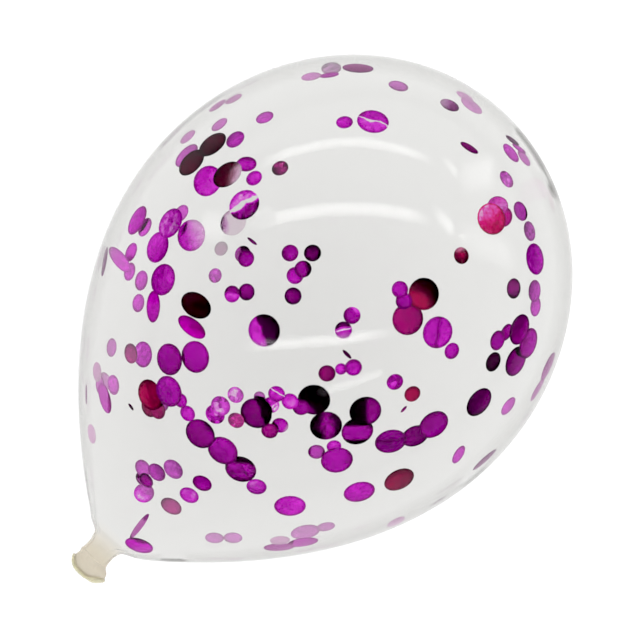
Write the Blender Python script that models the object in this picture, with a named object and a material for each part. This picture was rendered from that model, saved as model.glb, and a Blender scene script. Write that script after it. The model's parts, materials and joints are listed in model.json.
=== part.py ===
"""An inflated latex party balloon, lying on its side on a small flat spot, as one closed solid.

The body is a pear turned about its own axis. It runs down through a shoulder and a round throat
into a short neck whose mouth is pressed flat and ends in a rolled lip. The frame is in metres,
+Z up, with the origin in the middle of the flat spot and the crown towards +X.
"""

import math

import bmesh
import bpy
from mathutils import Matrix, Vector

# Body
BODY_DIAMETER = 0.291  # round the widest girth
CROWN_LENGTH = 0.1595  # from the widest girth to the crown
TAIL_LENGTH = 0.2155  # from the widest girth down to the neck
TAIL_FULLNESS = 0.90  # 1 is a parabola, and less gives rounder shoulders
CONTACT_RADIUS = 0.018  # of the flat spot that the balloon lies on

# Neck, from the flat mouth to where the body begins
NECK_LENGTH = 0.0212
THROAT_DIAMETER = 0.0182
MOUTH_WIDTH = 0.0246  # of the flattened tube, inside the rolled lip
FLARE_LENGTH = 0.0140  # over which the mouth narrows to the throat
PRESSED_THICKNESS = 0.0030  # of the two walls where the mouth is pressed together
PRESSED_LENGTH = 0.0080  # of the stretch of neck that is pressed flat
LIP_DIAMETER = 0.0024  # of the rolled lip, which stands out by half of it all round
CORNER_SET_BACK = 0.0045  # how far the lip's two corners draw back from its straight middle

# Facets
SIDES = 64
CROWN_RINGS = 17
TAIL_RINGS = 24
NECK_RINGS = 9
LIP_RINGS = 6
SMOOTH_SHADING_LIMIT = math.radians(40)

# How closely the rest pose is worked out
BALANCE_SLICES = 600
BALANCE_STEP = math.radians(0.25)
BALANCE_LIMIT = math.radians(45)

LATEX_COLOUR = (0.86, 0.86, 0.84, 1.0)
LATEX_ROUGHNESS = 0.12

BODY_RADIUS = BODY_DIAMETER / 2
THROAT_RADIUS = THROAT_DIAMETER / 2
LIP_RADIUS = LIP_DIAMETER / 2
WIDEST = NECK_LENGTH + TAIL_LENGTH  # stations are measured along the axis from the mouth
CROWN = WIDEST + CROWN_LENGTH


def smooth_step(share):
    """0 to 1 with level ends, for a share that runs from 0 to 1."""
    share = min(1.0, max(0.0, share))
    return share * share * (3 - 2 * share)


def tail_radius(station):
    """The pear's own radius between the neck and the widest girth, where it dies away to nothing."""
    back = min(1.0, (WIDEST - station) / TAIL_LENGTH)
    return BODY_RADIUS * (1 - back**2) ** TAIL_FULLNESS


def crown_radius(station):
    """A half ellipse."""
    ahead = min(1.0, (station - WIDEST) / CROWN_LENGTH)
    return BODY_RADIUS * math.sqrt(1 - ahead**2)


def neck_radius(station):
    """From the wide mouth to the throat, and then dying away inside the body."""
    narrowing = smooth_step(station / FLARE_LENGTH)
    fading = smooth_step((station - NECK_LENGTH) / TAIL_LENGTH)
    return (MOUTH_WIDTH / 2 + (THROAT_RADIUS - MOUTH_WIDTH / 2) * narrowing) * (1 - fading)


def half_width(station):
    """Half the balloon's width at a station. The throat swells into the shoulder without a corner."""
    if station >= WIDEST:
        return crown_radius(station)
    return math.hypot(tail_radius(station), neck_radius(station))


def half_height(station):
    """Half the balloon's height: as its width, but pressed flat near the mouth."""
    if station >= NECK_LENGTH:
        return half_width(station)
    opening = smooth_step((station - PRESSED_LENGTH) / (NECK_LENGTH - PRESSED_LENGTH))
    return PRESSED_THICKNESS / 2 + (half_width(station) - PRESSED_THICKNESS / 2) * opening


def body_stations():
    """Stations of the rings, close together where the outline turns quickly."""
    lip_end = 2 * LIP_RADIUS
    neck = [lip_end + (NECK_LENGTH - lip_end) * i / NECK_RINGS for i in range(NECK_RINGS)]
    tail = [WIDEST - TAIL_LENGTH * math.cos(math.pi / 2 * i / TAIL_RINGS) for i in range(TAIL_RINGS)]
    crown = [WIDEST + CROWN_LENGTH * math.sin(math.pi / 2 * i / CROWN_RINGS) for i in range(CROWN_RINGS)]
    return neck + tail + crown


def lip_rings():
    """Stations and outward steps of the rolled lip, whose section is a half round."""
    rings = []
    for i in range(1, LIP_RINGS):
        angle = math.pi * i / LIP_RINGS
        rings.append((LIP_RADIUS * (1 - math.cos(angle)), LIP_RADIUS * math.sin(angle)))
    return rings


def ring_points(station, step_out=0.0):
    """One cross-section: a circle, or two half circles joined by flats where the neck is pressed."""
    wide = half_width(station) + step_out
    high = half_height(station) + step_out
    core = wide - high
    set_back = CORNER_SET_BACK * (1 - smooth_step(station / NECK_LENGTH))
    points = []
    for i in range(SIDES):
        angle = 2 * math.pi * (i + 0.5) / SIDES
        across = math.copysign(core, math.cos(angle)) + high * math.cos(angle)
        along = station + set_back * (across / wide) ** 4
        points.append(Vector((along, across, high * math.sin(angle))))
    return points


def resting_pose():
    """How far the neck hangs down, and how high the centre of mass stands above the lowest point.

    A turned solid lies still where its centre of mass is lowest, right above the point it touches."""
    slices = [CROWN * (i + 0.5) / BALANCE_SLICES for i in range(BALANCE_SLICES)]
    areas = [math.pi * half_width(s) * half_height(s) for s in slices]
    centre = sum(s * a for s, a in zip(slices, areas)) / sum(areas)

    def height(tilt):
        return max(half_width(s) * math.cos(tilt) - (s - centre) * math.sin(tilt) for s in slices)

    tilts = [BALANCE_STEP * i for i in range(int(BALANCE_LIMIT / BALANCE_STEP))]
    tilt = min(tilts, key=height)
    return centre, tilt, height(tilt)


def skin_surface():
    """The closed surface about the X axis, with the mouth at the origin."""
    mesh = bmesh.new()
    sections = [ring_points(station, step) for station, step in lip_rings()]
    sections += [ring_points(station) for station in body_stations()]
    rings = [[mesh.verts.new(point) for point in section] for section in sections]
    for near, far in zip(rings, rings[1:]):
        for i in range(SIDES):
            j = (i + 1) % SIDES
            mesh.faces.new((near[i], near[j], far[j], far[i]))
    crown = mesh.verts.new((CROWN, 0, 0))
    for i in range(SIDES):
        mesh.faces.new((rings[-1][i], rings[-1][(i + 1) % SIDES], crown))
    close_mouth(mesh, rings[0])
    return mesh


def close_mouth(mesh, ring):
    """Fills the mouth with strips from each point to the one straight below it."""
    quarter = SIDES // 4
    for start in (0, SIDES // 2):
        side = [ring[(start + k) % SIDES] for k in range(-quarter, quarter)]
        for k in range(quarter - 1):
            mesh.faces.new((side[k], side[k + 1], side[-2 - k], side[-1 - k]))
    upper = (ring[quarter - 1], ring[quarter])
    lower = (ring[-quarter - 1], ring[-quarter])
    mesh.faces.new((*upper, *lower))


def cut_flat_spot(mesh):
    """Takes away what lies under the floor and closes the cut."""
    cut = bmesh.ops.bisect_plane(
        mesh, geom=mesh.verts[:] + mesh.edges[:] + mesh.faces[:], plane_co=(0, 0, 0), plane_no=(0, 0, -1),
        clear_outer=True)
    rim = [item for item in cut["geom_cut"] if isinstance(item, bmesh.types.BMEdge)]
    bmesh.ops.edgeloop_fill(mesh, edges=rim)


def latex_material():
    material = bpy.data.materials.new("clear_latex")
    material.use_nodes = True
    shader = material.node_tree.nodes["Principled BSDF"]
    shader.inputs["Base Color"].default_value = LATEX_COLOUR
    shader.inputs["Roughness"].default_value = LATEX_ROUGHNESS
    shader.inputs["Metallic"].default_value = 0.0
    return material


def build_balloon():
    centre, tilt, height = resting_pose()
    flat_depth = BODY_RADIUS - math.sqrt(BODY_RADIUS**2 - CONTACT_RADIUS**2)
    surface = skin_surface()
    place = (
        Matrix.Translation((0, 0, height - flat_depth))
        @ Matrix.Rotation(-tilt, 4, "Y")
        @ Matrix.Translation((-centre, 0, 0)))
    surface.transform(place)
    cut_flat_spot(surface)
    bmesh.ops.recalc_face_normals(surface, faces=surface.faces)
    data = bpy.data.meshes.new("balloon")
    surface.to_mesh(data)
    surface.free()
    data.shade_smooth()
    data.set_sharp_from_angle(angle=SMOOTH_SHADING_LIMIT)
    data.materials.append(latex_material())
    balloon = bpy.data.objects.new("balloon", data)
    bpy.context.scene.collection.objects.link(balloon)
    print(f"the neck hangs {math.degrees(tilt):.2f} degrees below level")
    half_gap = PRESSED_THICKNESS / 2 * math.cos(math.pi / SIDES)
    for side in (1, -1):
        spot = place @ Vector(((LIP_DIAMETER + PRESSED_LENGTH) / 2, 0, side * half_gap))
        facing = place.to_3x3() @ Vector((0, 0, side))
        print("a pressed flat of the neck is at", spot.to_tuple(6), "and faces", facing.to_tuple(6))


for leftover in list(bpy.data.objects):
    bpy.data.objects.remove(leftover)
build_balloon()
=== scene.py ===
import json
import math
import random

import bpy
from mathutils import Matrix, Vector


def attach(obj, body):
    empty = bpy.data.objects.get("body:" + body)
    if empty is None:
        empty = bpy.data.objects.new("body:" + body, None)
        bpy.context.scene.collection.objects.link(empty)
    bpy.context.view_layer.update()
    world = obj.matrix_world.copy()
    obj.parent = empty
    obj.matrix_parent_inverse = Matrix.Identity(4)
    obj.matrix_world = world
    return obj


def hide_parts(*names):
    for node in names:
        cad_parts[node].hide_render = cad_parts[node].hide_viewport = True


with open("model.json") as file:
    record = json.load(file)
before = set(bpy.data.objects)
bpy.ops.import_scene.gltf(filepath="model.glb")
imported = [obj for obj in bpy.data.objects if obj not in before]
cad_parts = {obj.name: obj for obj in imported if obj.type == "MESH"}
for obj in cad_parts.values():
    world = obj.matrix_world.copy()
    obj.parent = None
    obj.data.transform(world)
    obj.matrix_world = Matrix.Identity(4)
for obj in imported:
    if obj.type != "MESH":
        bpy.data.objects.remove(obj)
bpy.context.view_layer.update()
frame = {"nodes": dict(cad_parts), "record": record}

random.seed(12)

# How the balloon lies, read off the flats of its pressed neck.
mounts = {mount["name"]: mount for mount in frame["record"]["mounts"]}
neckTop = Vector(mounts["neck_flat_top"]["pos_m"])
neckUnder = Vector(mounts["neck_flat_under"]["pos_m"])
# The neck's flats lie square to the axis, and the camera looks from the side that the upper one faces.
faceUp = Vector(mounts["neck_flat_top"]["axis"]).normalized()
acrossNeck = Vector((0, 1, 0))
alongAxis = acrossNeck.cross(faceUp)  # from the neck towards the crown

# The latex skin. Stations are measured along the axis from the mouth.
skin = {
    "neckFlatStation": 0.0052,  # metres, where the two neck mounts are
    "crownLength": 0.1595,  # from the widest girth to the crown
    "tailLength": 0.2155,  # from the widest girth to the neck
    "tailFullness": 0.90,
    "neckLength": 0.0212,
    "throatWidth": 0.0182,
    "mouthWidth": 0.0246,
    "flareLength": 0.0175,
    "pressedThickness": 0.0030,
    "pressedLength": 0.0080,
    "lipThickness": 0.0024,
    "lipRings": 8,
    "lipRoll": (225, 279),  # degrees, where the roll starts inside the mouth and how far it goes round
    "lipFlat": 0.9,  # how round the roll is across the lip
    "lipTuck": 2.6,  # how far the skin goes on inside the mouth, in radii of the lip
    "lipEnd": 2.1,  # where the neck goes on from the lip, in radii of the lip
    "cornerSetBack": 0.0055,
    "waistStation": 0.0275,  # where the skin draws in between the neck and the shoulder
    "waistReach": 0.0030,
    "waistDepth": 0.0030,
    "neckAside": 0.0018,  # how far the throat is bent off the axis
    "bendStart": (0.006, 0.006),  # the station where it starts, and the length that it takes
    "bendEnd": (0.026, 0.010),
    "wall": 0.00035,
    "floorGap": 0.0002,
    "weld": 0.00001,  # points closer than this are one
    "sides": 144,
    "neckRings": 24,
    "bodyRings": 96,
    "tailShare": 0.6,  # of the body's rings
    "pleats": [(7, 0.6, 0.5), (12, 2.1, 0.35), (19, 0.0, 0.3)],  # how many, their turn and share of depth
    "pleatDepth": 0.00045,
    "pleatReach": 0.050,  # how far they run up from the neck
    "mouthWave": (0.0005, 4.2, 0.8),  # height, and how far it turns across half the mouth and from where
    "mouthTurnedBack": 0.0030,  # how far the upper skin's corner is peeled back
    "peelStart": (0.1, 0.6),  # shares of half the mouth, where it starts to peel and how long that takes
    "peelEnd": (0.75, 0.35),
    "milkyReach": 0.012,  # how far past the neck the latex is still cloudy
}
mouth = (neckTop + neckUnder) / 2 - alongAxis * skin["neckFlatStation"]
cadPoints = [vertex.co - mouth for vertex in frame["nodes"]["balloon"].data.vertices]
crownStation = max(point.dot(alongAxis) for point in cadPoints)
bodyRadius = max((point - alongAxis * point.dot(alongAxis)).length for point in cadPoints)
widestStation = crownStation - skin["crownLength"]

# Everything about the picture. The image is 640 by 640 pixels.
view = {
    "imageSize": 640,
    "distance": 1.75,  # metres from the balloon's axis
    "metresAcross": 0.4049,  # of the picture's width, at the axis
    "axisTurn": 48.0,  # degrees that the axis is turned in the picture, from level towards upright
    "aimStation": 0.2212,  # of the picture's middle, along the axis
    "aimAside": 0.0039,  # of the picture's middle from the axis, to the lower right
    "sensorWidth": 36,  # millimetres
    "clipEnd": 30,
}
turn = math.radians(view["axisTurn"])
pictureRight = alongAxis * math.cos(turn) - acrossNeck * math.sin(turn)
pictureUp = alongAxis * math.sin(turn) + acrossNeck * math.cos(turn)
aim = mouth + alongAxis * view["aimStation"]
aim += (pictureRight * math.sin(turn) - pictureUp * math.cos(turn)) * view["aimAside"]
cameraPlace = aim + faceUp * view["distance"]


def pixelDirection(x, y):
    # from the camera through a pixel of the photo
    middle = view["imageSize"] / 2
    reach = view["metresAcross"] / view["imageSize"]
    aside = pictureRight * (x - middle) * reach + pictureUp * (middle - y) * reach
    return (aside - faceUp * view["distance"]).normalized()


def pixelOf(point):
    # the pixel of the photo that a point shows at
    seen = point - cameraPlace
    middle = view["imageSize"] / 2
    reach = view["imageSize"] / view["metresAcross"] * view["distance"] / -seen.dot(faceUp)
    return middle + seen.dot(pictureRight) * reach, middle - seen.dot(pictureUp) * reach


def addCamera():
    bpy.ops.object.camera_add()
    camera = bpy.context.object
    camera.name = "camera"
    camera.data.sensor_width = view["sensorWidth"]
    camera.data.lens = view["sensorWidth"] * view["distance"] / view["metresAcross"]
    camera.data.clip_end = view["clipEnd"]
    turned = Matrix((pictureRight, pictureUp, faceUp)).transposed().to_4x4()
    camera.matrix_world = Matrix.Translation(cameraPlace) @ turned
    bpy.context.scene.camera = camera


def linear(hexColour, alpha=1.0):
    # an sRGB hex colour as the linear one that Blender's sockets take
    channels = [int(hexColour[i:i + 2], 16) / 255 for i in (0, 2, 4)]
    curve = [c / 12.92 if c <= 0.04045 else ((c + 0.055) / 1.055) ** 2.4 for c in channels]
    return (*curve, alpha)


def addNode(tree, kind, settings=None, inputs=None):
    # settings are the node's own choices. An input is a value, or a socket to link from.
    node = tree.nodes.new(kind)
    for name, value in (settings or {}).items():
        setattr(node, name, value)
    for name, value in (inputs or {}).items():
        if isinstance(value, bpy.types.NodeSocket):
            tree.links.new(value, node.inputs[name])
        else:
            node.inputs[name].default_value = value
    return node


def paintRamp(node, stops):
    ramp = node.color_ramp
    while len(ramp.elements) < len(stops):
        ramp.elements.new(0.5)
    for element, (place, hexColour) in zip(ramp.elements, stops):
        element.position = place
        element.color = linear(hexColour)


def newMaterial(name):
    material = bpy.data.materials.new(name)
    material.use_nodes = True
    return material, material.node_tree, material.node_tree.nodes["Principled BSDF"]


def smoothStep(share):
    share = min(1.0, max(0.0, share))
    return share * share * (3 - 2 * share)


def pastStart(place, startAndLength):
    # 0 up to a start, and 1 once a length beyond it is gone
    start, length = startAndLength
    return smoothStep((place - start) / length)


def fromLine(x, y, line):
    # how far a pixel is from a line of pixels
    nearest = 1e9
    for (x0, y0), (x1, y1) in zip(line, line[1:]):
        length = (x1 - x0) ** 2 + (y1 - y0) ** 2
        share = min(1.0, max(0.0, ((x - x0) * (x1 - x0) + (y - y0) * (y1 - y0)) / length))
        nearest = min(nearest, math.hypot(x - x0 - share * (x1 - x0), y - y0 - share * (y1 - y0)))
    return nearest


# The skin

def halfWidth(station):
    if station >= widestStation:
        ahead = min(1.0, (station - widestStation) / skin["crownLength"])
        return bodyRadius * math.sqrt(1 - ahead**2)
    back = min(1.0, (widestStation - station) / skin["tailLength"])
    tail = bodyRadius * (1 - back**2) ** skin["tailFullness"]
    narrowing = smoothStep(station / skin["flareLength"])
    fading = smoothStep((station - skin["neckLength"]) / skin["tailLength"])
    wide = skin["mouthWidth"] + (skin["throatWidth"] - skin["mouthWidth"]) * narrowing
    waist = skin["waistDepth"] * math.exp(-(((station - skin["waistStation"]) / skin["waistReach"]) ** 2))
    return math.hypot(tail, wide / 2 * (1 - fading)) - waist


def halfHeight(station):
    if station >= skin["neckLength"]:
        return halfWidth(station)
    opened = (station - skin["pressedLength"]) / (skin["neckLength"] - skin["pressedLength"])
    thin = skin["pressedThickness"] / 2
    return thin + (halfWidth(station) - thin) * smoothStep(opened)


def profilePoints():
    # half the outline, from inside the mouth round its rolled lip and on to the crown
    lip = skin["lipThickness"] / 2
    wide = skin["mouthWidth"] / 2
    points = [(wide - lip, skin["lipTuck"] * lip)]
    start, sweep = skin["lipRoll"]
    for i in range(skin["lipRings"] + 1):
        angle = math.radians(start - sweep * i / skin["lipRings"])
        points.append((wide + lip * math.cos(angle) * skin["lipFlat"], lip - lip * math.sin(angle)))
    first = skin["lipEnd"] * lip
    for i in range(skin["neckRings"]):
        station = first + (skin["neckLength"] - first) * i / skin["neckRings"]
        points.append((halfWidth(station), station))
    tailRings = round(skin["bodyRings"] * skin["tailShare"])
    for i in range(tailRings):
        station = widestStation - skin["tailLength"] * math.cos(math.pi / 2 * i / tailRings)
        points.append((halfWidth(station), station))
    crownRings = skin["bodyRings"] - tailRings
    for i in range(crownRings):
        station = widestStation + skin["crownLength"] * math.sin(math.pi / 2 * i / crownRings)
        points.append((halfWidth(station), station))
    points.append((0.0, crownStation))
    return points


def onStadium(share, wide, high):
    # a point of a circle pressed flat, at a share of the way round it
    core = max(0.0, wide - high)
    quarter = math.pi / 2 * high + core
    share = share % 1.0
    number = int(share * 4)
    gone = (share * 4 - number) * quarter
    if number % 2:
        gone = quarter - gone
    if gone < math.pi / 2 * high:
        across, up = core + high * math.cos(gone / high), high * math.sin(gone / high)
    else:
        across, up = core - (gone - math.pi / 2 * high), high
    return (across if number in (0, 3) else -across), (up if number in (0, 1) else -up)


def shapeNeck(mesh):
    # presses the turned neck flat, draws back the corners of its lip, lays pleats in the throat and bends it
    fromLip = mesh.attributes.new("fromLip", "FLOAT", "POINT")
    pleatsEnd = skin["neckLength"] + skin["pleatReach"]
    for vertex in mesh.vertices:
        across, up, station = vertex.co
        fromLip.data[vertex.index].value = station
        radius = math.hypot(across, up)
        if station > pleatsEnd or radius < 1e-6:
            continue
        share = math.atan2(up, across) / (2 * math.pi)
        near = 1 - smoothStep((station - skin["neckLength"]) / skin["pleatReach"])
        pleated = near * smoothStep(station / skin["neckLength"])
        step = radius - halfWidth(station)
        for count, turned, depth in skin["pleats"]:
            step += skin["pleatDepth"] * pleated * depth * math.sin(count * share * 2 * math.pi + turned)
        wide = halfWidth(station) + step
        across, up = onStadium(share, wide, halfHeight(station) + step)
        aside = across / wide
        bent = pastStart(station, skin["bendStart"]) * (1 - pastStart(station, skin["bendEnd"]))
        if station < skin["neckLength"]:
            gone = 1 - smoothStep(station / skin["neckLength"])
            if up > 0:
                peeled = pastStart(-aside, skin["peelStart"]) * (1 - pastStart(-aside, skin["peelEnd"]))
                station += skin["mouthTurnedBack"] * gone**3 * peeled
            station += skin["cornerSetBack"] * gone * min(1.0, abs(aside)) ** 4
            height, turns, start = skin["mouthWave"]
            up += height * math.sin(aside * turns + start) * gone
        vertex.co = (across + skin["neckAside"] * bent, up, station)


edgeFade = (5, 8)  # pixels from its line where a shadow starts to fade, and over how many it does

# Painted shade where the skin's edge looks darker, as lines of pixels along it: how dark, and how much
# wider.
edgeShadows = {
    "shoulder": {"line": [(163, 140), (188, 114), (217, 93)], "dark": 0.5, "wide": 0.02},
    "right": {"line": [(522, 134), (534, 150), (543, 166)], "dark": 1.0, "wide": 0.05},
    "rightPatch": {"line": [(553, 186), (555, 190)], "dark": 1.0, "wide": 0.08},
    "girth": {"line": [(480, 470), (468, 481)], "dark": 0.8, "wide": 0.0},
    "underside": {"line": [(168, 561), (178, 562)], "dark": 1.0, "wide": 0.07},
    "left": {"line": [(85, 386), (84, 403)], "dark": 0.3, "wide": 0.0},
    "tail": {"line": [(86, 476), (91, 495)], "dark": 0.5, "wide": 0.04},
}


def shadeEdges(mesh):
    dark = mesh.attributes.new("edgeShade", "FLOAT", "POINT")
    wide = mesh.attributes.new("edgeWide", "FLOAT", "POINT")
    for vertex in mesh.vertices:
        x, y = pixelOf(vertex.co)
        for shadow in edgeShadows.values():
            near = 1 - pastStart(fromLine(x, y, shadow["line"]), edgeFade)
            for mark, share in ((dark, shadow["dark"]), (wide, shadow["wide"])):
                mark.data[vertex.index].value = max(mark.data[vertex.index].value, near * share)


def lieOnFloor(mesh):
    # the skin under the floor is pressed up to it
    for vertex in mesh.vertices:
        vertex.co.z = max(vertex.co.z, skin["floorGap"])


def makeSkin():
    points = profilePoints()
    bpy.ops.object.select_all(action="DESELECT")
    bpy.ops.mesh.primitive_plane_add(size=0.001, location=(points[0][0], 0, points[0][1]))
    balloon = bpy.context.object
    balloon.name = "balloon_skin"
    bpy.ops.object.transform_apply(location=True, rotation=True, scale=True)
    bpy.ops.object.mode_set(mode="EDIT")
    bpy.ops.mesh.select_all(action="SELECT")
    bpy.ops.mesh.merge(type="CENTER")
    for (oldRadius, oldStation), (radius, station) in zip(points, points[1:]):
        move = (radius - oldRadius, 0, station - oldStation)
        bpy.ops.mesh.extrude_vertices_move(TRANSFORM_OT_translate={"value": move})
    bpy.ops.mesh.select_all(action="SELECT")
    bpy.ops.mesh.spin(steps=skin["sides"], angle=2 * math.pi, center=(0, 0, 0), axis=(0, 0, 1))
    bpy.ops.mesh.select_all(action="SELECT")
    bpy.ops.mesh.remove_doubles(threshold=skin["weld"])
    bpy.ops.mesh.normals_make_consistent(inside=False)
    bpy.ops.object.mode_set(mode="OBJECT")
    shapeNeck(balloon.data)
    place = Matrix((acrossNeck, faceUp, alongAxis)).transposed().to_4x4()
    balloon.data.transform(Matrix.Translation(mouth) @ place)
    shadeEdges(balloon.data)
    lieOnFloor(balloon.data)
    bpy.ops.object.shade_smooth()
    return balloon


def thickenSkin(balloon):
    wall = balloon.modifiers.new("wall", "SOLIDIFY")
    wall.thickness = skin["wall"]
    wall.offset = -1
    bpy.context.view_layer.objects.active = balloon
    bpy.ops.object.modifier_apply(modifier=wall.name)
    cloudy = skin["neckLength"] + skin["milkyReach"]
    for face in balloon.data.polygons:
        face.material_index = 1 if (face.center - mouth).dot(alongAxis) < cloudy else 0


latex = {
    "tint": "EEEEED",
    "edgeTint": "D2D2D0",
    "darkEdgeTint": "70706C",
    "haze": 0.02,  # of the light that it scatters where it is looked at edge on
    # where each of the next three starts and where it is full, from 0 for face on to 1 for edge on
    "edgeStops": (0.6, 0.85),
    "darkEdgeStops": (0.80, 0.87),
    "hazeStops": (0.4, 0.9),
    "gloss": 0.12,  # of a glossy coat over it, which mirrors the lights
    "glossRoughness": 0.07,
    "ior": 1.1,
    "roughness": 0.012,
    "neckTint": "F6F1E6",
    "lipTint": "FCFAE8",
    "lipStops": (0.035, 0.08),  # where the lip's tint ends and the neck's starts, of the cloudy stretch
    "neckStop": 0.5,  # where the neck's tint ends
    "neckCloud": 0.72,  # how see-through the neck is
    "cloudStart": 0.010,  # metres from the mouth where it starts to clear
    "neckRoughness": 0.2,
}


def clearLatexMaterial():
    # Dipped natural latex blown up thin: see-through, with a faint gloss that shows the lights, and a little
    # greyer where it is looked at edge on. It is far thinner than its mesh, so its IOR is lower than solid
    # latex has.
    material, tree, shader = newMaterial("clear_natural_latex")
    edge = addNode(tree, "ShaderNodeLayerWeight", None, {"Blend": 0.5})
    thinEdge = addNode(tree, "ShaderNodeValToRGB", None, {"Fac": edge.outputs["Facing"]})
    start, full = latex["edgeStops"]
    paintRamp(thinEdge, [(0.0, latex["tint"]), (start, latex["tint"]), (full, latex["edgeTint"])])
    wider = addNode(tree, "ShaderNodeAttribute", {"attribute_name": "edgeWide"})
    widened = addNode(tree, "ShaderNodeMath", {"operation": "ADD"}, {
        0: edge.outputs["Facing"], 1: wider.outputs["Fac"]})
    darkEdge = addNode(tree, "ShaderNodeValToRGB", None, {"Fac": widened.outputs["Value"]})
    start, full = latex["darkEdgeStops"]
    paintRamp(darkEdge, [(0.0, latex["tint"]), (start, latex["tint"]), (full, latex["darkEdgeTint"])])
    # painted shade along the stretches of the edge that edgeShadows lists
    shaded = addNode(tree, "ShaderNodeAttribute", {"attribute_name": "edgeShade"})
    colour = addNode(tree, "ShaderNodeMix", {"data_type": "RGBA"}, {
        "Factor": shaded.outputs["Fac"], 6: thinEdge.outputs["Color"], 7: darkEdge.outputs["Color"]})
    tree.links.new(colour.outputs[2], shader.inputs["Base Color"])
    start, full = latex["hazeStops"]
    clear = addNode(tree, "ShaderNodeMapRange", {"interpolation_type": "SMOOTHSTEP"}, {
        "Value": edge.outputs["Facing"], "From Min": start, "From Max": full,
        "To Min": 1.0, "To Max": 1 - latex["haze"]})
    tree.links.new(clear.outputs["Result"], shader.inputs["Transmission Weight"])
    shader.inputs["IOR"].default_value = latex["ior"]
    shader.inputs["Roughness"].default_value = latex["roughness"]
    shader.inputs["Coat Weight"].default_value = latex["gloss"]
    shader.inputs["Coat Roughness"].default_value = latex["glossRoughness"]
    return material


def milkyLatexMaterial():
    # The same latex where it is hardly stretched: cloudy and yellowish, and deepest in the rolled lip.
    material, tree, shader = newMaterial("milky_natural_latex")
    fromLip = addNode(tree, "ShaderNodeAttribute", {"attribute_name": "fromLip"})
    end = skin["neckLength"] + skin["milkyReach"]
    clouded = addNode(tree, "ShaderNodeMapRange", {"interpolation_type": "SMOOTHSTEP"}, {
        "Value": fromLip.outputs["Fac"], "From Min": latex["cloudStart"], "From Max": end,
        "To Min": latex["neckCloud"], "To Max": 1.0})
    share = addNode(tree, "ShaderNodeMapRange", None, {
        "Value": fromLip.outputs["Fac"], "From Min": 0.0, "From Max": end})
    colour = addNode(tree, "ShaderNodeValToRGB", None, {"Fac": share.outputs["Result"]})
    lipEnd, neckStart = latex["lipStops"]
    paintRamp(colour, [(0.0, latex["lipTint"]), (lipEnd, latex["lipTint"]), (neckStart, latex["neckTint"]),
                       (latex["neckStop"], latex["neckTint"]), (1.0, latex["tint"])])
    tree.links.new(colour.outputs["Color"], shader.inputs["Base Color"])
    tree.links.new(clouded.outputs["Result"], shader.inputs["Transmission Weight"])
    shader.inputs["IOR"].default_value = latex["ior"]
    shader.inputs["Roughness"].default_value = latex["neckRoughness"]
    return material


# The foil discs. Each has the pixel of the photo that its middle shows at, its size and its tone, and where
# needed:
# back: it lies on the far wall
# open and turn: how round it looks, and which way its long side points in degrees
# other, towards, edge and blur: a second tone of painted reflection over part of the disc, which way it
# lies, where it starts and how softly
# crease, shine and wide: where a crease runs, how much paler its painted highlight is (or darker, as painted
# shade), and its width
# crumple: how crinkled the foil is, shown as painted sheen that is paler or darker from facet to facet
# ring: the width of its rim of painted shade in metres
large, medium, small, tiny = 0.0192, 0.0123, 0.0101, 0.0070  # metres across

# A tone is a shade, a share of red and a share of film haze over it. The shade is painted reflection on one
# foil colour: darker where a disc mirrors shade, paler where it mirrors light. The haze is the skin's sheen
# painted over the disc.
black, ink, dark, plum, purple = (0, 0, 0), (0.1, 0, 0), (0.22, 0, 0), (0.38, 0, 0), (0.48, 0, 0)
# hot is a painted highlight
magenta, bright, vivid, hot = (0.58, 0, 0), (0.67, 0, 0), (0.75, 0, 0), (0.86, 0, 0)
maroon, claret, crimson, cerise = (0.25, 1, 0), (0.42, 1, 0), (0.58, 1, 0), (0.58, 0.6, 0)
lilac, berry, rose, mauve = (0.5, 0, 0.1), (0.6, 0, 0.08), (0.62, 0, 0.16), (0.6, 0, 0.36)
pale, grey, faint = (0.58, 0, 0.55), (0.46, 0.2, 0.74), (0.12, 0, 0.82)
roseRed, brown = (0.5, 0.6, 0.14), (0.3, 0.7, 0.22)

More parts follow.
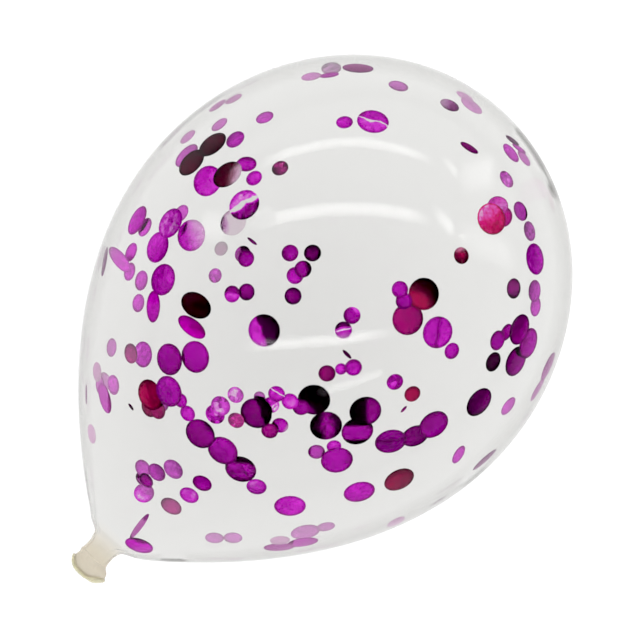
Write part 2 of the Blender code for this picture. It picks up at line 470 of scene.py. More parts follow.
foil = {
    "edgeShine": "D070C8",  # of the foil looked at edge on
    # painted reflection shades from the darkest to the palest, each with its colour; the palest end is a
    # painted highlight
    "magentaTones": [(0.0, "090106"), (0.1, "34062F"), (0.22, "6B1066"), (0.38, "A11994"),
                     (0.48, "B61DB4"), (0.58, "CE24CB"), (0.67, "E332E0"), (0.75, "F845F8"),
                     (0.86, "FF98FF"), (1.0, "FFFFFF")],
    "redTones": [(0.0, "0A0103"), (0.12, "390A18"), (0.25, "611530"), (0.42, "90204C"),
                 (0.55, "B92258"), (0.66, "DC2672"), (0.75, "FB349C"), (0.85, "FF70D8"),
                 (1.0, "FFFFFF")],
    # the colour of the skin's sheen, painted over a disc as film haze
    "haze": "FAEFF6",
    "roughness": (0.08, 0.26),
    "thickness": 0.00012,
    "sides": 20,
    "smoothAngle": 40,  # degrees
    # how the discs lie
    "gap": 0.0004,  # between a disc and the skin, or the next disc
    "bow": 0.145,  # radius that a disc bows to, which is the balloon's own
    "lean": 0.03,  # how far a disc may lean from the wall, as a slope
    "holdPlace": 9,  # how much less a disc moves across the picture than into it to clear the skin
    "settleTries": 40,
    "settled": 0.00001,  # a disc that moves less than this lies still
    "leastSlant": 0.08,  # a disc that is seen more edge on than this hides nothing
    # what the foil looks like, with scales for dents 8 mm, facets 2.5 mm and mottling 1.5 mm across
    "slope": 0.14,  # of painted shade across a disc, darker towards one side
    "crumple": 0.10,
    "rimShadeWidth": 0.0026,  # width of the dark rim of painted shade round the punched edge
    "rimStart": 0.0003,  # how much of it is fully dark
    "rimDepth": 0.19,  # how much darker it is
    "creaseStart": 0.02,  # how much of a crease is fully pale, as a share of the disc
    "dentScale": 120,
    "dentBend": 0.5,  # how far the dents bend a line, as a share of the disc
    "facetScale": 400,
    "mottleScale": 650,
    "mottleDepth": 0.2,
    "bumpStrength": 0.5,
    "bumpHeight": 0.0006,
}


def disc(x, y, size, tone, **more):
    return {"x": x, "y": y, "size": size, "tone": tone, **more}


discs = {
    "discs_shoulder_left": [
        disc(187, 136, medium, pale, back=1), disc(212, 144, large, (0.14, 1, 0), open=0.53, turn=38),
        disc(191, 162, large, (0.16, 1, 0), open=0.55, turn=47),
        disc(186, 155, large, (0.58, 0, 0.2), back=1),
        disc(227, 174, large, maroon, open=0.66, turn=38, other=(0.64, 0.3, 0.7), towards=340, edge=0.72,
             blur=0.2),
        disc(206.5, 180, large, bright, open=0.84, turn=60), disc(217, 105, medium, grey),
        disc(233, 98, medium, grey, back=1), disc(219, 124, medium, mauve, back=1),
        disc(235, 139, medium, (0.66, 0, 0.06), open=0.66, turn=38), disc(264.5, 117, medium, rose, back=1),
        disc(254, 178, small, bright),
        disc(246, 163.5, medium, magenta, open=0.72, turn=5, other=plum, towards=90, edge=0.76, blur=0.16),
        disc(280, 168, small, (0.42, 0.6, 0.06), crumple=0.35),
        disc(244, 204.5, large, plum, other=vivid, towards=122, edge=0.4, blur=0.1, crease=0.54, shine=0.45,
             wide=0.13, crumple=0.3),
        disc(233, 222, large, plum, back=1, other=(0.7, 0, 0.95), towards=350, edge=0.24, blur=0.2),
    ],
    "discs_crown_edge": [
        disc(311, 76, medium, pale, open=0.38, turn=10), disc(329, 74, medium, mauve, open=0.24, turn=8),
        disc(331, 65.5, medium, pale, open=0.6, turn=5), disc(358, 67, large, brown, open=0.28, turn=-3),
        disc(398.5, 85.5, medium, mauve), disc(344.5, 122, small, bright),
        disc(373, 121, large, vivid, other=magenta, towards=70, crease=0.5, shine=0.5),
        disc(450, 104.5, medium, (0.42, 0.05, 0.1), open=0.5, turn=-25, other=(0.5, 0, 0.55), towards=165,
             edge=0.62, blur=0.3),
        disc(465.5, 95.5, medium, (0.6, 0, 0.86), back=1), disc(472, 105, 0.0155, (0.56, 0, 0.62)),
        disc(470, 147, medium, (0.26, 0.7, 0.1), open=0.3, turn=-32),
    ],
    "discs_crown_right": [
        disc(513.5, 139.5, small, ink, open=0.24, turn=-38),
        disc(520.5, 147.5, small, rose, open=0.24, turn=-36), disc(511.5, 152.5, 0.0138, rose),
        disc(525, 157.5, medium, mauve, back=1),
        disc(507, 179, medium, (0.7, 0, 0.2), back=1, other=lilac, towards=160, edge=0.7, blur=0.2,
             crumple=0.3),
        disc(492.5, 218.5, large, (0.68, 1, 0), open=0.86, turn=110, other=(0.83, 1, 0), towards=135,
             edge=0.62, blur=0.35, ring=0.0014),
        disc(499, 205.5, 0.0138, (0.78, 0.4, 0.05), back=1, open=0.95, turn=0, ring=0.001),
        disc(505, 216.5, 0.0135, cerise, back=1, open=0.82, turn=80),
        disc(521, 211, medium, berry, other=dark, towards=0, edge=0.82, blur=0.1),
        disc(530, 231, medium, (0.66, 0, 0.26), crumple=0.2),
        disc(535.7, 259, large, bright, open=0.54, turn=97), disc(535, 291, 0.0135, rose),
        disc(536, 306.5, medium, rose),
        disc(461.5, 255.5, small, claret, other=(0.62, 0.8, 0.24), towards=110, edge=0.84, blur=0.12,
             crumple=0.3),
    ],
    "discs_girth_right": [
        disc(514, 288.5, medium, (0.4, 0.3, 0.03), other=(0.2, 0.2, 0.02), towards=300, edge=0.68,
             blur=0.15),
        disc(520.3, 329.7, large, plum, open=0.56, turn=72), disc(529, 343.5, large, (0.44, 0, 0)),
        disc(516.5, 361.5, large, plum), disc(497.8, 340.5, medium, purple),
        disc(507, 332.5, medium, plum, back=1, open=0.55, turn=65),
        disc(493.5, 362, medium, (0.14, 0.3, 0)),
        disc(549.5, 367, large, (0.44, 0.1, 0.32), open=0.2, turn=66),
        disc(539, 390, 0.017, (0.24, 0.3, 0.7), open=0.17, turn=60),
        disc(509, 406.5, 0.0138, (0.66, 0, 0.26), back=1), disc(479.5, 402.5, large, (0.28, 0, 0)),
        disc(459.5, 455.5, medium, rose, open=0.42, turn=58),
        disc(486, 461, large, (0.2, 0.6, 0.2), open=0.14, turn=42),
    ],
    "discs_middle_right": [
        disc(400, 289.5, small, magenta), disc(404, 301, small, purple),
        disc(424, 294, large, (0.1, 1, 0), other=(0.55, 1, 0), towards=225, edge=0.52, blur=0.22),
        disc(408, 319, large, (0.52, 0.7, 0)), disc(452, 351, small, magenta),
        disc(438, 332.5, large, bright, other=magenta, towards=172, edge=0.5, crease=0.53, shine=-0.16,
             wide=0.12),
        disc(395, 382, small, magenta, crumple=0.4), disc(412.5, 394, small, crimson),
        disc(404, 409.5, 0.005, (0.4, 0.7, 0.15), open=0.3, turn=47),
    ],
    "discs_lower_right": [
        disc(434, 425, large, (0.43, 0, 0), open=0.72, turn=38),
        disc(415.5, 436.5, large, (0.28, 0, 0), back=1, open=0.68, turn=25),
        disc(391, 442, large, (0.54, 0, 0), open=0.7, turn=15, towards=97, crease=0.52, shine=-0.16,
             wide=0.1),
        disc(399.5, 480.3, large, claret), disc(359.5, 492.5, large, (0.56, 0, 0), open=0.6, turn=14),
        disc(290, 506.5, large, (0.61, 0, 0)),
    ],
    "discs_middle": [
        disc(290, 253, small, purple), disc(312.5, 253, small, (0.2, 0.1, 0), crumple=0.2),
        disc(303, 269, small, purple, other=ink, towards=0, edge=0.62, blur=0.1),
        disc(295, 275.5, small, magenta),
        disc(293, 296, small, (0.34, 0, 0), other=dark, towards=225, edge=0.8),
        disc(264, 330.5, large, (0.13, 0, 0), other=(0.66, 0, 0), towards=203, edge=0.62, blur=0.07),
        disc(352, 315.5, small, purple, other=hot, towards=50, edge=0.8, blur=0.1),
        disc(343.5, 330, small, bright, other=dark, towards=100, edge=0.66, blur=0.06, crease=0.5,
             shine=0.4),
        disc(251.8, 241, tiny, dark, open=0.25, turn=-38), disc(246, 258.5, small, purple),
        disc(242.5, 254, small, dark, other=lilac, towards=190, edge=0.6, blur=0.2, crumple=0.3),
        disc(221, 248.5, small, (0.4, 0.2, 0.64), back=1),
        disc(215, 275.5, small, (0.7, 0, 0.2), back=1, crumple=0.35),
        disc(232, 294, small, vivid, other=plum, towards=80, edge=0.55, blur=0.1),
        disc(246.5, 292, small, plum), disc(347, 354.5, tiny, black, open=0.3, turn=-45),
        disc(353.5, 367.5, small, magenta), disc(341, 369, tiny, bright),
        disc(327, 373.5, small, (0.44, 0.6, 0)),
    ],
    "discs_left_upper": [
        disc(136.5, 220, large, magenta, open=0.42, turn=63), disc(144.5, 227, medium, (0.64, 0, 0.12)),
        disc(170, 223, large, vivid, crumple=0.2), disc(181, 213, medium, rose, back=1),
        disc(190.5, 235, large, bright, open=0.85, turn=75, other=(0.74, 0, 0.5), towards=20, edge=0.6,
             blur=0.4, crumple=0.14),
        disc(157, 247, large, bright), disc(113.5, 258, large, (0.66, 0, 0.22), open=0.42, turn=-52),
        disc(102, 261, large, (0.14, 0.7, 0.1), back=1, open=0.12, turn=80),
        disc(130.5, 252, medium, berry), disc(129, 271.5, medium, rose, back=1),
        disc(141, 280.5, medium, rose),
        disc(162.5, 279.5, large, (0.64, 0, 0), other=purple, towards=300, edge=0.8, blur=0.15),
        disc(152, 306.5, large, (0.58, 0, 0.08), open=0.42, turn=88, other=(0.5, 0, 0), towards=90,
             edge=0.7, blur=0.2),
        disc(138, 303, medium, rose, back=1),
    ],
    "discs_left_lower": [
        disc(195, 305.5, large, (0.13, 1, 0), open=0.74, turn=-35),
        disc(190.5, 327.5, large, (0.6, 0.15, 0), open=0.5, turn=-38),
        disc(111, 347.5, medium, (0.6, 0, 0.42), back=1), disc(130.5, 353.5, medium, roseRed),
        disc(142.5, 354.5, 0.0175, (0.66, 0, 0.12), back=1, crumple=0.2),
        disc(169, 359.5, large, (0.46, 0, 0)), disc(195, 357, large, (0.53, 0, 0)),
        disc(96.5, 372, medium, grey),
        disc(103.5, 398.5, large, (0.7, 0, 0.36), open=0.34, turn=-76, other=(0.36, 0.2, 0.1), towards=0,
             edge=0.76, blur=0.1),
        disc(99.5, 385, medium, (0.6, 0, 0.4), back=1),
        disc(105, 381, medium, pale, back=1, open=0.5, turn=-65), disc(113, 385, medium, (0.62, 0, 0.26)),
        disc(84.5, 394.5, medium, (0.14, 0.7, 0.35), open=0.08, turn=90),
        disc(91, 434, medium, (0.8, 0.2, 0.95)), disc(130.5, 407, 0.005, black, open=0.3, turn=-55),
    ],
    "discs_chain_left": [
        disc(168.5, 391.5, large, magenta),
        disc(149.5, 395, large, (0.58, 1, 0), other=(0.4, 1, 0), towards=110, edge=0.84, blur=0.16),
        disc(157, 409.5, medium, (0.6, 0.8, 0.05)), disc(149, 407.5, medium, (0.58, 0.9, 0.05)),
        disc(161, 403, medium, lilac, back=1), disc(180.5, 400.5, small, magenta, back=1),
        disc(187.5, 413.5, small, bright),
        disc(200, 434, large, (0.4, 0, 0), other=(0.16, 0, 0), towards=45, edge=0.86, blur=0.1),
        disc(222.5, 451, large, purple),
        disc(240.5, 469.5, large, (0.42, 0, 0), other=(0.03, 0, 0), towards=82, edge=0.78, blur=0.08,
             crumple=0.25),
        disc(256.5, 487, medium, (0.75, 0, 0.02)),
    ],
    "discs_chain_middle": [
        disc(220.5, 406, medium, (0.7, 0, 0.05), crumple=0.4),
        disc(215, 414.5, medium, bright, crumple=0.5),
        disc(235.5, 395, small, (0.72, 0, 0.12), crumple=0.4),
        disc(236, 420.5, small, (0.66, 0.6, 0.05), crumple=0.3),
        disc(256, 413.5, large, (0.34, 0, 0), other=black, towards=28, edge=0.68, blur=0.06),
        disc(269.5, 431, small, (0.5, 0.45, 0)),
        disc(280, 425.5, small, magenta, other=mauve, towards=330, edge=0.85),
        disc(276.5, 394, small, bright, towards=60, crease=0.62, shine=0.5), disc(290, 401.5, small, vivid),
        disc(301, 407.5, small, purple),
        disc(271, 405, small, bright, other=(0.84, 0, 0.1), towards=320, edge=0.6, crumple=0.3),
        disc(259.5, 397, tiny, (0.7, 0, 0.2)),
    ],
    "discs_chain_right": [
        disc(314, 400, large, black, other=(0.3, 0, 0), towards=225, edge=0.76, blur=0.08),
        disc(326, 426, large, (0.2, 0, 0), towards=5, crease=0.52, shine=0.28, wide=0.24, ring=0.0074,
             crumple=0.16),
        disc(365.5, 411.5, large, (0.02, 0, 0), other=(0.36, 0, 0), towards=0, edge=0.52, blur=0.1),
        disc(357.5, 431.5, large, (0.5, 0, 0), other=black, towards=90, edge=0.7, blur=0.1, crease=0.08,
             shine=-0.45, wide=0.16),
        disc(337, 460.5, large, magenta, other=plum, towards=0, edge=0.74, blur=0.25),
        disc(316.5, 452, small, berry, other=plum, towards=180, edge=0.8),
        disc(334, 446.5, small, bright, back=1),
    ],
    "discs_tail": [
        disc(142.5, 468.5, medium, rose, back=1), disc(156.5, 472.5, medium, berry),
        disc(173, 469.5, 0.0135, (0.72, 0, 0.16)), disc(146, 480.5, small, plum),
        disc(142, 479, small, lilac, back=1),
        disc(143, 494, 0.0125, rose, open=0.95, turn=0, other=hot, towards=215, edge=0.6, blur=0.25),
        disc(202, 483.5, medium, (0.5, 0, 0)), disc(189, 495.5, medium, vivid),
        disc(171, 506.5, 0.0138, roseRed),
        disc(137.5, 529.5, large, (0.3, 0.5, 0.72), open=0.2, turn=53, other=(0.08, 0.4, 0.2), towards=60,
             edge=0.8),
        disc(138.5, 546.5, 0.0182, (0.6, 0, 0), open=0.46, turn=-17, other=dark, towards=75, edge=0.8,
             blur=0.12),
    ],
    "discs_belly": [
        disc(214.5, 538.5, medium, (0.6, 0, 0.47), back=1),
        disc(233, 538.5, medium, (0.6, 0, 0.47), back=1), disc(280, 541, medium, grey),
        disc(279, 548.5, large, (0.48, 0.1, 0.5), open=0.24, turn=3),
        disc(303, 543.5, large, mauve, open=0.27, turn=8), disc(305.5, 533, large, (0.62, 0, 0.5), back=1),
        disc(326, 527.5, medium, pale, back=1), disc(397, 524, medium, faint, open=0.3, turn=27),
        disc(439, 502.3, medium, (0.1, 0.6, 0.2), open=0.06, turn=33),
    ],
}


sighting = {
    "tries": 60,
    "stepIn": 0.005,  # of the way to the picture's middle
    "pastWall": 0.002,  # metres behind the near wall, from where the far one is looked for
    "leastInside": 0.03,  # metres between the two walls
}


def wallPoint(balloon, x, y, back):
    # where the line of sight through a pixel meets the front or the back of the skin
    middle = view["imageSize"] / 2
    for step in range(sighting["tries"]):
        direction = pixelDirection(x, y)
        hit, point, normal, face = balloon.ray_cast(cameraPlace, direction)
        if hit:
            behind = point + direction * sighting["pastWall"]
            farHit, farPoint, farNormal, face = balloon.ray_cast(behind, direction)
            if farHit and (farPoint - point).length > sighting["leastInside"]:
                return (farPoint, farNormal, direction) if back else (point, normal, direction)
        x += (middle - x) * sighting["stepIn"]  # the pixel is just past the edge, so it moves in a little
        y += (middle - y) * sighting["stepIn"]
    raise ValueError("a disc is placed outside the balloon")


def makeDiscPattern():
    bpy.ops.object.select_all(action="DESELECT")
    bpy.ops.mesh.primitive_circle_add(vertices=foil["sides"], radius=0.5, fill_type="TRIFAN")
    pattern = bpy.context.object
    pattern.name = "disc_pattern"
    return pattern


def discFacing(item, outward, sight):
    # the way that a disc's near face looks: square to the wall, or as its "open" and "turn" say
    facing = -outward if item.get("back") else outward
    lean = Vector([random.uniform(-foil["lean"], foil["lean"]) for axis in range(3)])
    if "open" not in item:
        return (facing + lean).normalized()
    turned = math.radians(item["turn"])
    longWay = pictureRight * math.cos(turned) + pictureUp * math.sin(turned)
    shortWay = sight.cross(longWay).normalized() * math.sqrt(1 - item["open"] ** 2)
    if shortWay.dot(facing) < 0:
        shortWay = -shortWay
    return shortWay - sight * item["open"]


def missingDepth(new, other, along):
    # how far a new disc still has to go along the sight to lie clear of another wherever the two overlap
    apart = other["middle"] - new["middle"]
    if (apart - along * apart.dot(along)).length > other["reach"] + new["reach"]:
        return 0.0
    missing = 0.0
    for moving, still, sign in ((new, other, 1), (other, new, -1)):
        slant = along.dot(still["facing"])
        if abs(slant) < foil["leastSlant"]:
            continue
        for corner in moving["corners"]:
            ahead = (still["middle"] - corner).dot(still["facing"]) / slant
            if (corner + along * ahead - still["middle"]).length < still["reach"]:
                missing = max(missing, foil["gap"] + ahead * sign)
    return missing


def settle(balloon, new, along, laid):
    # moves a disc off the skin and off the discs already laid on that wall, along the sight more than across
    for attempt in range(foil["settleTries"]):
        worst = 0.0
        for corner in new["corners"]:
            found, nearest, normal, face = balloon.closest_point_on_mesh(corner)
            missing = foil["gap"] + skin["wall"] - (nearest - corner).dot(normal)
            if missing > worst:
                worst, inward = missing, -normal
        move = Vector((0, 0, 0))
        if worst > 0:
            deep = along * inward.dot(along)
            move = deep + (inward - deep) / foil["holdPlace"]
            move = move * (worst / move.dot(inward))
        move += along * max([missingDepth(new, other, along) for other in laid], default=0.0)
        if move.length < foil["settled"]:
            break
        new["middle"] = new["middle"] + move
        new["corners"] = [corner + move for corner in new["corners"]]


def layDisc(balloon, pattern, item, laid):
    back = bool(item.get("back"))
    point, outward, sight = wallPoint(balloon, item["x"], item["y"], back)
    facing = discFacing(item, outward, sight)
    side = facing.cross(pictureUp).normalized()
    up = facing.cross(side)
    bow = (-0.5 if back else 0.5) / foil["bow"]
    corners = []
    for vertex in pattern.data.vertices:
        x, y = vertex.co.x * item["size"], vertex.co.y * item["size"]
        corners.append(point + side * x + up * y - facing * (x * x + y * y) * bow)
    new = {"middle": point, "facing": facing, "reach": item["size"] / 2, "corners": corners}
    settle(balloon, new, -sight if back else sight, laid)
    laid.append(new)
    piece = pattern.copy()
    piece.data = pattern.data.copy()
    bpy.context.collection.objects.link(piece)
    for vertex, corner in zip(piece.data.vertices, new["corners"]):
        vertex.co = corner
    markDisc(piece.data, item, new)
    return piece


def markDisc(mesh, item, new):
    # gives the foil's material what it needs to know about this disc
    towards = math.radians(item.get("towards", random.uniform(0, 360)))
    way = pictureRight * math.cos(towards) + pictureUp * math.sin(towards)
    cross = new["facing"].cross(way).normalized()
    way = cross.cross(new["facing"])
    marks = {
        "tone": item["tone"],
        "otherTone": item.get("other", item["tone"]),
        "cut": (item.get("edge", 0.5), item.get("blur", 0.06), item["size"]),
        "crease": (item.get("crease", 0.5), item.get("shine", 0.0), item.get("wide", 0.05)),
        # painted facet sheen and the width of the painted rim shade
        "sheenAndRimShade": (item.get("crumple", foil["crumple"]), item.get("ring", foil["rimShadeWidth"]), 0),
    }
    layout = mesh.uv_layers.new(name="onDisc")
    for name, value in marks.items():
        mark = mesh.attributes.new(name, "FLOAT_VECTOR", "POINT")
        for vertex in mesh.vertices:
            mark.data[vertex.index].vector = value
    for loop in mesh.loops:
        offset = (mesh.vertices[loop.vertex_index].co - new["middle"]) / item["size"]
        layout.data[loop.index].uv = (0.5 + offset.dot(way), 0.5 + offset.dot(cross))


def placeDiscs(balloon, pattern, material):
    # the first disc in the list is the nearest to the camera, on the near wall and on the far one
    order = [(name, item) for name, group in discs.items() for item in group]
    copies = {name: [] for name in discs}
    for back, queue in ((False, order), (True, order[::-1])):
        laid = []
        for name, item in queue:
            if bool(item.get("back")) == back:
                copies[name].append(layDisc(balloon, pattern, item, laid))
    pieces = []
    for name, group in copies.items():
        bpy.ops.object.select_all(action="DESELECT")
        for piece in group:
            piece.select_set(True)
        bpy.context.view_layer.objects.active = group[0]
        bpy.ops.object.join()
        joined = bpy.context.object
        joined.name = name
        joined.data.name = name
        joined.data.materials.append(material)
        pieces.append(joined)
    return pieces


def thickenFoil(piece):
    sheet = piece.modifiers.new("thickness", "SOLIDIFY")
    sheet.thickness = foil["thickness"]
    sheet.offset = 0
    bpy.context.view_layer.objects.active = piece
    bpy.ops.object.modifier_apply(modifier=sheet.name)
    bpy.ops.object.select_all(action="DESELECT")
    piece.select_set(True)
    bpy.ops.object.shade_smooth_by_angle(angle=math.radians(foil["smoothAngle"]))


def foilMaterial():
    # Metallised PET film, punched into discs: a lacquered mirror whose reflections are painted into its
    # colour, from near black to pale pink.
    material, tree, shader = newMaterial("metallised_pet_foil")
    marks = {}
    for name in ("tone", "otherTone", "cut", "crease", "sheenAndRimShade"):
        marks[name] = addNode(tree, "ShaderNodeAttribute", {"attribute_name": name}).outputs["Vector"]
    cuts = addNode(tree, "ShaderNodeSeparateXYZ", None, {0: marks["cut"]})
    creases = addNode(tree, "ShaderNodeSeparateXYZ", None, {0: marks["crease"]})
    sheenAndRimShades = addNode(tree, "ShaderNodeSeparateXYZ", None, {0: marks["sheenAndRimShade"]})
    layout = addNode(tree, "ShaderNodeUVMap", {"uv_map": "onDisc"})
    onDisc = addNode(tree, "ShaderNodeSeparateXYZ", None, {0: layout.outputs["UV"]})
    coords = addNode(tree, "ShaderNodeTexCoord")
    # soft dents bend every line on the foil
    dents = addNode(tree, "ShaderNodeTexNoise", None, {
        "Vector": coords.outputs["Object"], "Scale": foil["dentScale"], "Detail": 3})
    bent = addNode(tree, "ShaderNodeMath", {"operation": "MULTIPLY_ADD"}, {
        0: dents.outputs["Fac"], 1: foil["dentBend"], 2: -foil["dentBend"] / 2})
    across = addNode(tree, "ShaderNodeMath", {"operation": "ADD"}, {
        0: onDisc.outputs["X"], 1: bent.outputs["Value"]})
    # one tone of painted reflection turns into the other along a line across the disc
    past = addNode(tree, "ShaderNodeMath", {"operation": "SUBTRACT"}, {
        0: across.outputs["Value"], 1: cuts.outputs["X"]})
    share = addNode(tree, "ShaderNodeMath", {"operation": "DIVIDE"}, {
        0: past.outputs["Value"], 1: cuts.outputs["Y"]})
    turned = addNode(tree, "ShaderNodeMapRange", {"interpolation_type": "SMOOTHSTEP"}, {
        "Value": share.outputs["Value"], "From Min": -1.0, "From Max": 1.0})
    mixed = addNode(tree, "ShaderNodeMix", {"data_type": "VECTOR"}, {
        "Factor": turned.outputs["Result"], 4: marks["tone"], 5: marks["otherTone"]})
    tones = addNode(tree, "ShaderNodeSeparateXYZ", None, {0: mixed.outputs[1]})
    # painted shade: the disc darkens towards one side
    sloped = addNode(tree, "ShaderNodeMath", {"operation": "MULTIPLY_ADD"}, {
        0: onDisc.outputs["X"], 1: foil["slope"], 2: -foil["slope"] / 2})
    shade = addNode(tree, "ShaderNodeMath", {"operation": "ADD"}, {
        0: tones.outputs["X"], 1: sloped.outputs["Value"]})
    # crinkles: flat facets, each with painted sheen of its own, paler or darker
    facets = addNode(tree, "ShaderNodeTexVoronoi", None, {
        "Vector": coords.outputs["Object"], "Scale": foil["facetScale"]})
    facetSheen = addNode(tree, "ShaderNodeSeparateXYZ", None, {0: facets.outputs["Color"]})
    uneven = addNode(tree, "ShaderNodeMath", {"operation": "SUBTRACT"}, {0: facetSheen.outputs["X"], 1: 0.5})
    shade = addNode(tree, "ShaderNodeMath", {"operation": "MULTIPLY_ADD"}, {
        0: uneven.outputs["Value"], 1: sheenAndRimShades.outputs["X"], 2: shade.outputs["Value"]})
    # fine mottling
    mottle = addNode(tree, "ShaderNodeTexNoise", None, {
        "Vector": coords.outputs["Object"], "Scale": foil["mottleScale"], "Detail": 2})
    mottled = addNode(tree, "ShaderNodeMath", {"operation": "MULTIPLY_ADD"}, {
        0: mottle.outputs["Fac"], 1: foil["mottleDepth"], 2: -foil["mottleDepth"] / 2})
    shade = addNode(tree, "ShaderNodeMath", {"operation": "ADD"}, {
        0: shade.outputs["Value"], 1: mottled.outputs["Value"]})
    # a dark band of painted shade round the punched rim
    fromMiddle = addNode(tree, "ShaderNodeVectorMath", {"operation": "DISTANCE"}, {0: layout.outputs["UV"]})
    fromMiddle.inputs[1].default_value = (0.5, 0.5, 0)
    inside = addNode(tree, "ShaderNodeMath", {"operation": "SUBTRACT"}, {
        0: 0.5, 1: fromMiddle.outputs["Value"]})
    fromRim = addNode(tree, "ShaderNodeMath", {"operation": "MULTIPLY"}, {
        0: inside.outputs["Value"], 1: cuts.outputs["Z"]})
    rimShade = addNode(tree, "ShaderNodeMapRange", {"interpolation_type": "SMOOTHSTEP"}, {
        "Value": fromRim.outputs["Value"], "From Min": foil["rimStart"], "From Max": sheenAndRimShades.outputs["Y"],
        "To Min": -foil["rimDepth"], "To Max": 0.0})
    shade = addNode(tree, "ShaderNodeMath", {"operation": "ADD"}, {
        0: shade.outputs["Value"], 1: rimShade.outputs["Result"]})
    # a crease that catches the light is painted as a pale stripe, and one turned from it as a dark one
    fromCrease = addNode(tree, "ShaderNodeMath", {"operation": "SUBTRACT"}, {
        0: across.outputs["Value"], 1: creases.outputs["X"]})
    offCrease = addNode(tree, "ShaderNodeMath", {"operation": "ABSOLUTE"}, {0: fromCrease.outputs["Value"]})
    stripe = addNode(tree, "ShaderNodeMapRange", {"interpolation_type": "SMOOTHSTEP"}, {
        "Value": offCrease.outputs["Value"], "From Min": foil["creaseStart"],
        "From Max": creases.outputs["Z"], "To Min": 1.0, "To Max": 0.0})
    shade = addNode(tree, "ShaderNodeMath", {"operation": "MULTIPLY_ADD"}, {
        0: stripe.outputs["Result"], 1: creases.outputs["Y"], 2: shade.outputs["Value"]})
    # the shade picks the painted reflection on the lacquer's colour
    magentaRamp = addNode(tree, "ShaderNodeValToRGB", None, {"Fac": shade.outputs["Value"]})
    paintRamp(magentaRamp, foil["magentaTones"])
    redRamp = addNode(tree, "ShaderNodeValToRGB", None, {"Fac": shade.outputs["Value"]})
    paintRamp(redRamp, foil["redTones"])
    lacquerAndReflection = addNode(tree, "ShaderNodeMix", {"data_type": "RGBA"}, {
        "Factor": tones.outputs["Y"], 6: magentaRamp.outputs["Color"], 7: redRamp.outputs["Color"]})
    # the skin's sheen painted over the disc
    colour = addNode(tree, "ShaderNodeMix", {"data_type": "RGBA"}, {
        "Factor": tones.outputs["Z"], 6: lacquerAndReflection.outputs[2], 7: linear(foil["haze"])})
    tree.links.new(colour.outputs[2], shader.inputs["Base Color"])
    shader.inputs["Metallic"].default_value = 1.0
    shader.inputs["Specular Tint"].default_value = linear(foil["edgeShine"])
    smooth, rough = foil["roughness"]
    gloss = addNode(tree, "ShaderNodeMapRange", None, {
        "Value": mottle.outputs["Fac"], "To Min": smooth, "To Max": rough})
    tree.links.new(gloss.outputs["Result"], shader.inputs["Roughness"])
    crinkle = addNode(tree, "ShaderNodeBump", None, {
        "Height": dents.outputs["Fac"], "Strength": foil["bumpStrength"], "Distance": foil["bumpHeight"]})
    tree.links.new(crinkle.outputs["Normal"], shader.inputs["Normal"])
    return material


# Floor, world and lights

studio = {
    "floorSize": 12,
    "floorGap": 0.0003,
    "floorColour": "9A9A9A",
    "floorRoughness": 0.9,
    "floorShine": 0.1,
    "floorGlow": 0.86,  # of the light table under the paper
    "litWithin": (0.5, 2.2),  # metres from the balloon, from fully lit to dim
    "dimGlow": 0.0,
    "tentGlow": 0.90,
    "blackLevel": 0.014,  # of the picture's contrast
    "lightDistance": 0.75,  # from the skin
    "lightFaces": (24, 2),  # along a light and across it
    "lightFade": (0.4, 0.1),  # of its ends and its sides, where a light says nothing else
    "normalReach": 10,  # pixels to each side that the skin's normal is taken over
}

# What the skin mirrors, by the pixels where it shows: the middle line of each soft light and its height
# there, how bright it is, and where its ends and its sides start to fade, as shares of its half.
lights = {
    "stripUpper": {
        "line": [(255, 167), (285, 154), (321, 144.5), (345, 142), (372, 143), (400, 149.5), (420, 156),
                 (440, 165)],
        "height": 14, "glow": 18, "fade": (0.6, 0.2),
    },
    "stripLower": {
        "line": [(250, 227), (285, 216), (321, 210), (345, 208.5), (377, 209.5), (405, 213.5), (436, 223)],
        "height": 18, "glow": 23, "fade": (0.65, 0.3),
    },
    "streak": {"line": [(440, 157), (454, 170), (474, 192)], "height": 18, "glow": 13, "fade": (0.3, 0.1)},
    "upper": {"line": [(456, 178), (474, 176), (498, 172)], "height": 50, "glow": 9},
    "lower": {
        "line": [(430, 207), (444, 220), (456, 233), (476, 254)],
        "height": 26, "glow": 22, "fade": (0.3, 0.1),
    },
    "lowerRight": {"line": [(452, 232), (478, 242), (520, 262)], "height": 46, "glow": 8},
    "left": {"line": [(198, 226), (214, 226), (230, 228)], "height": 44, "glow": 12},
    "leftEnd": {"line": [(246, 222), (260, 216), (276, 212)], "height": 24, "glow": 11},
    "echoUpper": {
        "line": [(232, 348), (280, 344), (310, 342), (340, 340), (365, 336), (404, 330)],
        "height": 16, "glow": 26,
    },
    "echoLower": {
        "line": [(312, 394), (332, 389), (350, 384), (366, 378), (382, 372), (400, 360)],
        "height": 13, "glow": 17,
    },
}


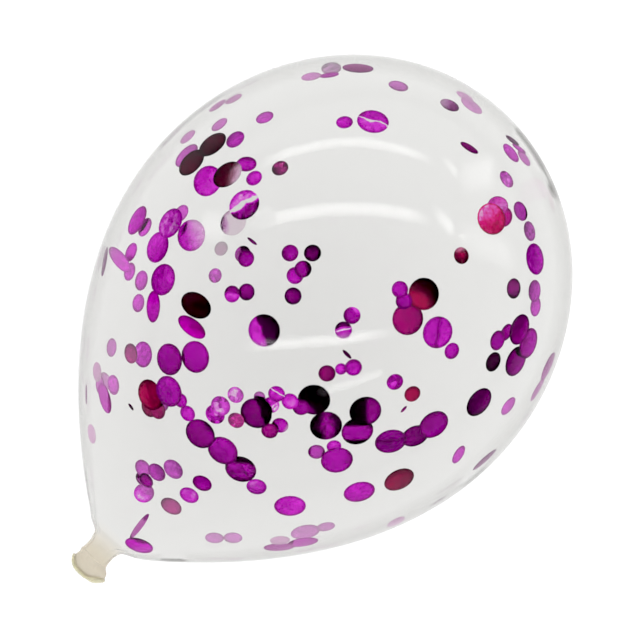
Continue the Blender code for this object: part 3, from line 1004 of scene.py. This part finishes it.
def lightMaterial(name, light):
    # Diffuser cloth lit from behind: it glows white, and fades towards its edges.
    material, tree, shader = newMaterial(name)
    shader.inputs["Base Color"].default_value = (0, 0, 0, 1)
    shader.inputs["Emission Color"].default_value = (1, 1, 1, 1)
    layout = addNode(tree, "ShaderNodeUVMap", {"uv_map": "UVMap"})
    away = addNode(tree, "ShaderNodeVectorMath", {"operation": "SUBTRACT"}, {0: layout.outputs["UV"]})
    away.inputs[1].default_value = (0.5, 0.5, 0)
    off = addNode(tree, "ShaderNodeVectorMath", {"operation": "ABSOLUTE"}, {0: away.outputs["Vector"]})
    offs = addNode(tree, "ShaderNodeSeparateXYZ", None, {0: off.outputs["Vector"]})
    glow = addNode(tree, "ShaderNodeValue")
    glow.outputs[0].default_value = light["glow"]
    for axis, start in zip("XY", light.get("fade", studio["lightFade"])):
        fade = addNode(tree, "ShaderNodeMapRange", {"interpolation_type": "SMOOTHSTEP"}, {
            "Value": offs.outputs[axis], "From Min": start / 2, "From Max": 0.5,
            "To Min": 1.0, "To Max": 0.0})
        glow = addNode(tree, "ShaderNodeMath", {"operation": "MULTIPLY"}, {
            0: fade.outputs["Result"], 1: glow.outputs[0]})
    tree.links.new(glow.outputs[0], shader.inputs["Emission Strength"])
    material.cycles.emission_sampling = "FRONT"
    return material


def alongLine(line, share):
    # the pixel at a share of the way along a line of pixels
    lengths = [math.dist(start, end) for start, end in zip(line, line[1:])]
    left = share * sum(lengths)
    for (x0, y0), (x1, y1), length in zip(line, line[1:], lengths):
        if left <= length:
            break
        left -= length
    part = min(1.0, left / length)
    return x0 + (x1 - x0) * part, y0 + (y1 - y0) * part


def roundNormal(balloon, x, y):
    # the skin's normal over a few of its faces, because each face is flat
    reach = studio["normalReach"]
    left, right = [wallPoint(balloon, x + side * reach, y, False)[0] for side in (-1, 1)]
    low, high = [wallPoint(balloon, x, y - side * reach, False)[0] for side in (-1, 1)]
    return (right - left).cross(high - low).normalized()


def hangLight(balloon, name, light):
    # a curved panel that faces the balloon where the skin mirrors it to the given pixels
    bpy.ops.object.select_all(action="DESELECT")
    along, across = studio["lightFaces"]
    bpy.ops.mesh.primitive_grid_add(size=1, x_subdivisions=along, y_subdivisions=across)
    lamp = bpy.context.object
    lamp.name = "light_" + name
    for vertex in lamp.data.vertices:
        x, y = alongLine(light["line"], vertex.co.x + 0.5)
        y -= vertex.co.y * light["height"]
        point, faceNormal, sight = wallPoint(balloon, x, y, False)
        normal = roundNormal(balloon, x, y)
        away = (sight - normal * 2 * sight.dot(normal)).normalized()
        vertex.co = point + away * studio["lightDistance"]
    lamp.data.materials.append(lightMaterial("diffuser_" + name, light))
    lamp.visible_camera = False
    lamp.visible_diffuse = False
    lamp.visible_transmission = False
    lamp.visible_shadow = False


def makeStudio():
    bpy.ops.object.select_all(action="DESELECT")
    bpy.ops.mesh.primitive_plane_add(size=studio["floorSize"], location=(0, 0, -studio["floorGap"]))
    floor = bpy.context.object
    floor.name = "studio_floor"
    # Opal acrylic lit from below: it glows evenly under the balloon and dims far from it.
    material, tree, shader = newMaterial("opal_light_table")
    shader.inputs["Base Color"].default_value = linear(studio["floorColour"])
    shader.inputs["Roughness"].default_value = studio["floorRoughness"]
    shader.inputs["Specular IOR Level"].default_value = studio["floorShine"]
    shader.inputs["Emission Color"].default_value = (1, 1, 1, 1)
    coords = addNode(tree, "ShaderNodeTexCoord")
    away = addNode(tree, "ShaderNodeVectorMath", {"operation": "LENGTH"}, {0: coords.outputs["Object"]})
    near, far = studio["litWithin"]
    glow = addNode(tree, "ShaderNodeMapRange", {"interpolation_type": "SMOOTHSTEP"}, {
        "Value": away.outputs["Value"], "From Min": near, "From Max": far,
        "To Min": studio["floorGlow"], "To Max": studio["dimGlow"]})
    tree.links.new(glow.outputs["Result"], shader.inputs["Emission Strength"])
    floor.data.materials.append(material)
    world = bpy.data.worlds.new("light_tent")
    world.use_nodes = True
    background = world.node_tree.nodes["Background"]
    background.inputs["Color"].default_value = linear("FFFFFF")
    background.inputs["Strength"].default_value = studio["tentGlow"]
    bpy.context.scene.world = world
    picture = bpy.context.scene.view_settings
    picture.view_transform = "Standard"
    picture.use_curve_mapping = True
    picture.curve_mapping.black_level = [studio["blackLevel"]] * 3


addCamera()
makeStudio()
print("camera and studio are set")
balloonSkin = makeSkin()
print("skin is turned and its neck is pressed")
foilSheet = foilMaterial()
discPattern = makeDiscPattern()
discPieces = placeDiscs(balloonSkin, discPattern, foilSheet)
print("discs are in place:", sum(len(group) for group in discs.values()))
for lightName, light in lights.items():
    hangLight(balloonSkin, lightName, light)
print("lights are hung:", len(lights))
bpy.data.objects.remove(discPattern)
for piece in discPieces:
    thickenFoil(piece)
    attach(piece, "root")
balloonSkin.data.materials.append(clearLatexMaterial())
balloonSkin.data.materials.append(milkyLatexMaterial())
thickenSkin(balloonSkin)
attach(balloonSkin, "root")
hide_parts("balloon")
print("skin has its wall")
